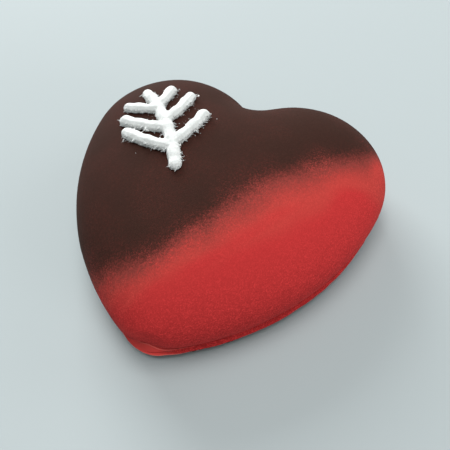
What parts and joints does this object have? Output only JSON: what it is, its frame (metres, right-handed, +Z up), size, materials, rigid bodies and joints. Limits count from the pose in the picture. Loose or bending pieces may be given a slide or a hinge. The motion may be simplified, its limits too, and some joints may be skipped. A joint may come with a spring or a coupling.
{
  "type": "heart shaped mousse cake",
  "caption": "Domed heart shaped mousse cake with a velvet sprayed skin, dark above and red at the front, a low dark base and a white piped sprig on one lobe.",
  "frame": {"origin": "centre of the bounding box on the plane the cake stands on", "axes": "+Z up, the heart's tip towards -Y, +X across the two lobes"},
  "size_m": [0.1894, 0.1825, 0.0673],
  "materials": {
    "velvet_spray": "soft matt velvet grain of sprayed cocoa butter, dark brown fading into red",
    "chocolate_biscuit": "matt, crumbly dark biscuit",
    "white_piping": "matt white piped icing with a shredded edge"
  },
  "bodies": {
    "root": {"mousse_heart": "velvet_spray", "biscuit_base": "chocolate_biscuit", "piped_sprig": "white_piping"}
  },
  "joints": []
}
